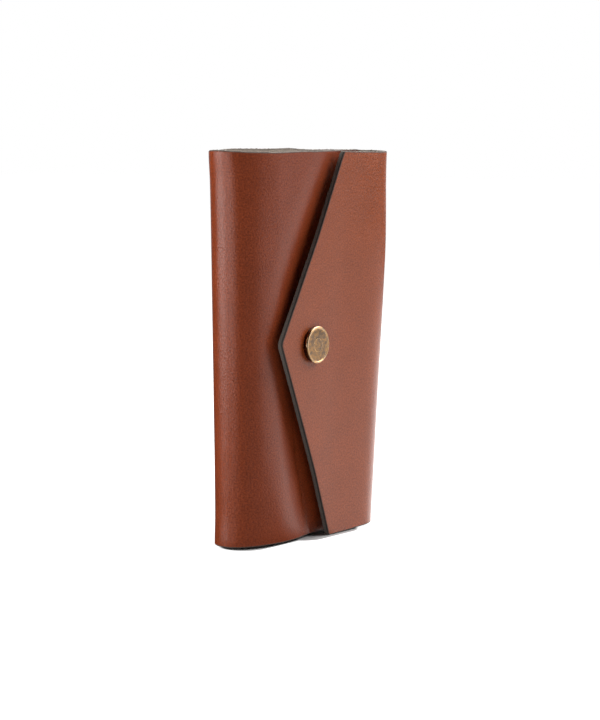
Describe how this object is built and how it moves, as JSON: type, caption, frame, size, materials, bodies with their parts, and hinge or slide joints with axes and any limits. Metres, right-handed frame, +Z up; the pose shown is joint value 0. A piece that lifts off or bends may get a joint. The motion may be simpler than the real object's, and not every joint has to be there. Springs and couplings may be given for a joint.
{
  "type": "key case",
  "caption": "Folding leather key case with a pointed snap flap and a riveted rail of swivelling key hooks inside.",
  "frame": {"origin": "middle of the standing case's footprint, on the surface it stands on", "axes": "+Z up along the case's height, the flap and snap face -Y, and the flap's fold is at +X"},
  "size_m": [0.0846, 0.0235, 0.13],
  "materials": {
    "leather": "smooth tan leather with dark cut edges",
    "snap_brass": "antique brass, satin",
    "hook_steel": "nickel plated, satin"
  },
  "bodies": {
    "back_panel": {"back_panel": "leather", "key_rail": "hook_steel", "rivet_caps": "snap_brass", "rivet_heads": "snap_brass"},
    "right_fold_1": {"right_fold_1": "leather"},
    "right_fold_2": {"right_fold_2": "leather"},
    "right_fold_3": {"right_fold_3": "leather"},
    "right_fold_4": {"right_fold_4": "leather"},
    "flap": {"flap": "leather", "snap_cap": "snap_brass", "snap_socket": "snap_brass", "snap_spring": "hook_steel"},
    "left_fold_1": {"left_fold_1": "leather"},
    "left_fold_2": {"left_fold_2": "leather"},
    "left_fold_3": {"left_fold_3": "leather"},
    "left_fold_4": {"left_fold_4": "leather"},
    "front_panel": {"front_panel": "leather", "snap_stud": "snap_brass", "snap_post": "snap_brass"},
    "key_hook_1": {"swivel_pin_1": "hook_steel", "key_hook_1": "hook_steel"},
    "hook_gate_1": {"hook_gate_1": "hook_steel"},
    "key_hook_2": {"swivel_pin_2": "hook_steel", "key_hook_2": "hook_steel"},
    "hook_gate_2": {"hook_gate_2": "hook_steel"},
    "key_hook_3": {"swivel_pin_3": "hook_steel", "key_hook_3": "hook_steel"},
    "hook_gate_3": {"hook_gate_3": "hook_steel"},
    "key_hook_4": {"swivel_pin_4": "hook_steel", "key_hook_4": "hook_steel"},
    "hook_gate_4": {"hook_gate_4": "hook_steel"},
    "key_hook_5": {"swivel_pin_5": "hook_steel", "key_hook_5": "hook_steel"},
    "hook_gate_5": {"hook_gate_5": "hook_steel"},
    "key_hook_6": {"swivel_pin_6": "hook_steel", "key_hook_6": "hook_steel"},
    "hook_gate_6": {"hook_gate_6": "hook_steel"}
  },
  "joints": [
    {"name": "flap_bend_1", "type": "hinge", "parent": "back_panel", "child": "right_fold_1", "pos_m": [0.027, 0.01056, 0.065], "axis": [0.0767, 0, 0.9971], "range_deg": [0, 22.5], "stiffness_Nm_per_rad": 0.004},
    {"name": "flap_bend_2", "type": "hinge", "parent": "right_fold_1", "child": "right_fold_2", "pos_m": [0.03426, 0.00754, 0.06444], "axis": [0.0767, 0, 0.9971], "range_deg": [0, 45], "stiffness_Nm_per_rad": 0.004},
    {"name": "flap_bend_3", "type": "hinge", "parent": "right_fold_2", "child": "right_fold_3", "pos_m": [0.03727, 0.00026, 0.06421], "axis": [0.0767, 0, 0.9971], "range_deg": [0, 45], "stiffness_Nm_per_rad": 0.004},
    {"name": "flap_bend_4", "type": "hinge", "parent": "right_fold_3", "child": "right_fold_4", "pos_m": [0.03426, -0.00703, 0.06444], "axis": [0.0767, 0, 0.9971], "range_deg": [0, 45], "stiffness_Nm_per_rad": 0.004},
    {"name": "flap_bend_5", "type": "hinge", "parent": "right_fold_4", "child": "flap", "pos_m": [0.027, -0.01005, 0.065], "axis": [0.0767, 0, 0.9971], "range_deg": [0, 22.5], "stiffness_Nm_per_rad": 0.004},
    {"name": "front_bend_1", "type": "hinge", "parent": "back_panel", "child": "left_fold_1", "pos_m": [-0.033, 0.01056, 0.065], "axis": [0.0175, 0, -0.9998], "range_deg": [0, 7.87], "stiffness_Nm_per_rad": 0.004},
    {"name": "front_bend_2", "type": "hinge", "parent": "left_fold_1", "child": "left_fold_2", "pos_m": [-0.0388, 0.00815, 0.0649], "axis": [0.0175, 0, -0.9998], "range_deg": [0, 15.75], "stiffness_Nm_per_rad": 0.004},
    {"name": "front_bend_3", "type": "hinge", "parent": "left_fold_2", "child": "left_fold_3", "pos_m": [-0.0412, 0.00235, 0.06486], "axis": [0.0175, 0, -0.9998], "range_deg": [0, 15.75], "stiffness_Nm_per_rad": 0.004},
    {"name": "front_bend_4", "type": "hinge", "parent": "left_fold_3", "child": "left_fold_4", "pos_m": [-0.0388, -0.00344, 0.0649], "axis": [0.0175, 0, -0.9998], "range_deg": [0, 15.75], "stiffness_Nm_per_rad": 0.004},
    {"name": "front_bend_5", "type": "hinge", "parent": "left_fold_4", "child": "front_panel", "pos_m": [-0.033, -0.00585, 0.065], "axis": [0.0175, 0, -0.9998], "range_deg": [0, 7.87], "stiffness_Nm_per_rad": 0.004},
    {"name": "hook_swivel_1", "type": "hinge", "parent": "back_panel", "child": "key_hook_1", "pos_m": [-0.0216, 0.00456, 0.112], "axis": [0, 0, 1], "continuous": true},
    {"name": "gate_press_1", "type": "hinge", "parent": "key_hook_1", "child": "hook_gate_1", "pos_m": [-0.02023, 0.00456, 0.10888], "axis": [0, 1, 0], "range_deg": [0, 11], "stiffness_Nm_per_rad": 0.002},
    {"name": "hook_swivel_2", "type": "hinge", "parent": "back_panel", "child": "key_hook_2", "pos_m": [-0.0136, 0.00456, 0.112], "axis": [0, 0, 1], "continuous": true},
    {"name": "gate_press_2", "type": "hinge", "parent": "key_hook_2", "child": "hook_gate_2", "pos_m": [-0.01223, 0.00456, 0.10888], "axis": [0, 1, 0], "range_deg": [0, 11], "stiffness_Nm_per_rad": 0.002},
    {"name": "hook_swivel_3", "type": "hinge", "parent": "back_panel", "child": "key_hook_3", "pos_m": [-0.0056, 0.00456, 0.112], "axis": [0, 0, 1], "continuous": true},
    {"name": "gate_press_3", "type": "hinge", "parent": "key_hook_3", "child": "hook_gate_3", "pos_m": [-0.00423, 0.00456, 0.10888], "axis": [0, 1, 0], "range_deg": [0, 11], "stiffness_Nm_per_rad": 0.002},
    {"name": "hook_swivel_4", "type": "hinge", "parent": "back_panel", "child": "key_hook_4", "pos_m": [0.0024, 0.00456, 0.112], "axis": [0, 0, 1], "continuous": true},
    {"name": "gate_press_4", "type": "hinge", "parent": "key_hook_4", "child": "hook_gate_4", "pos_m": [0.00377, 0.00456, 0.10888], "axis": [0, 1, 0], "range_deg": [0, 11], "stiffness_Nm_per_rad": 0.002},
    {"name": "hook_swivel_5", "type": "hinge", "parent": "back_panel", "child": "key_hook_5", "pos_m": [0.0104, 0.00456, 0.112], "axis": [0, 0, 1], "continuous": true},
    {"name": "gate_press_5", "type": "hinge", "parent": "key_hook_5", "child": "hook_gate_5", "pos_m": [0.01177, 0.00456, 0.10888], "axis": [0, 1, 0], "range_deg": [0, 11], "stiffness_Nm_per_rad": 0.002},
    {"name": "hook_swivel_6", "type": "hinge", "parent": "back_panel", "child": "key_hook_6", "pos_m": [0.0184, 0.00456, 0.112], "axis": [0, 0, 1], "continuous": true},
    {"name": "gate_press_6", "type": "hinge", "parent": "key_hook_6", "child": "hook_gate_6", "pos_m": [0.01977, 0.00456, 0.10888], "axis": [0, 1, 0], "range_deg": [0, 11], "stiffness_Nm_per_rad": 0.002}
  ],
  "couplings": [
    {"joint": "flap_bend_2", "follows": "flap_bend_1", "ratio": 2},
    {"joint": "flap_bend_3", "follows": "flap_bend_1", "ratio": 2},
    {"joint": "flap_bend_4", "follows": "flap_bend_1", "ratio": 2},
    {"joint": "flap_bend_5", "follows": "flap_bend_1", "ratio": 1},
    {"joint": "front_bend_1", "follows": "flap_bend_1", "ratio": 0.35},
    {"joint": "front_bend_2", "follows": "flap_bend_1", "ratio": 0.7},
    {"joint": "front_bend_3", "follows": "flap_bend_1", "ratio": 0.7},
    {"joint": "front_bend_4", "follows": "flap_bend_1", "ratio": 0.7},
    {"joint": "front_bend_5", "follows": "flap_bend_1", "ratio": 0.35}
  ]
}
